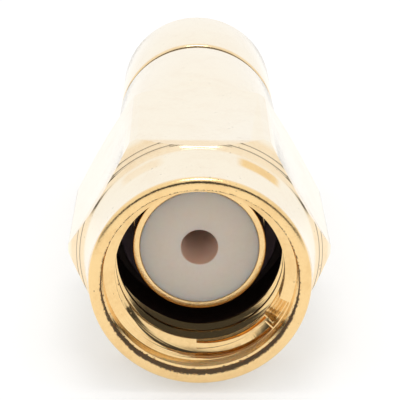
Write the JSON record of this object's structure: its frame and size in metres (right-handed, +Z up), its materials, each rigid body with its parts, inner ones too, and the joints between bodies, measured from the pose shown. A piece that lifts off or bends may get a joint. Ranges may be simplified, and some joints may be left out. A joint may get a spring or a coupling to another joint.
{
  "type": "sma connector",
  "caption": "Straight crimp coaxial plug with a captive hexagonal coupling nut, an internal thread, an insulated sleeve contact and a rear crimp ferrule.",
  "frame": {"origin": "on the connector's axis at the reference plane, the front face of the outer-contact sleeve", "axes": "+Y along the axis from the mating end to the cable end, +Z up through the nut's top flat, +X to the right as seen from the mating end"},
  "size_m": [0.009, 0.0221, 0.008],
  "materials": {
    "nut_gold": "polished gold plating, worn at the lip",
    "body_gold": "polished gold plating",
    "ferrule_gold": "polished gold plating",
    "ring_spring": "spring copper alloy",
    "gasket_rubber": "matt",
    "insulator_ptfe": "waxy, slightly translucent"
  },
  "bodies": {
    "connector_body": {"outer_body": "body_gold", "insulator": "insulator_ptfe", "gasket": "gasket_rubber", "crimp_ferrule": "ferrule_gold"},
    "ring": {"retaining_ring": "ring_spring"},
    "nut": {"coupling_nut": "nut_gold"}
  },
  "joints": [
    {"name": "nut_float", "type": "slide", "parent": "connector_body", "child": "ring", "axis": [0, 1, 0], "range_m": [-0.00012, 0.00012]},
    {"name": "nut_spin", "type": "hinge", "parent": "ring", "child": "nut", "pos_m": [0, 0, 0], "axis": [0, 1, 0], "continuous": true}
  ]
}
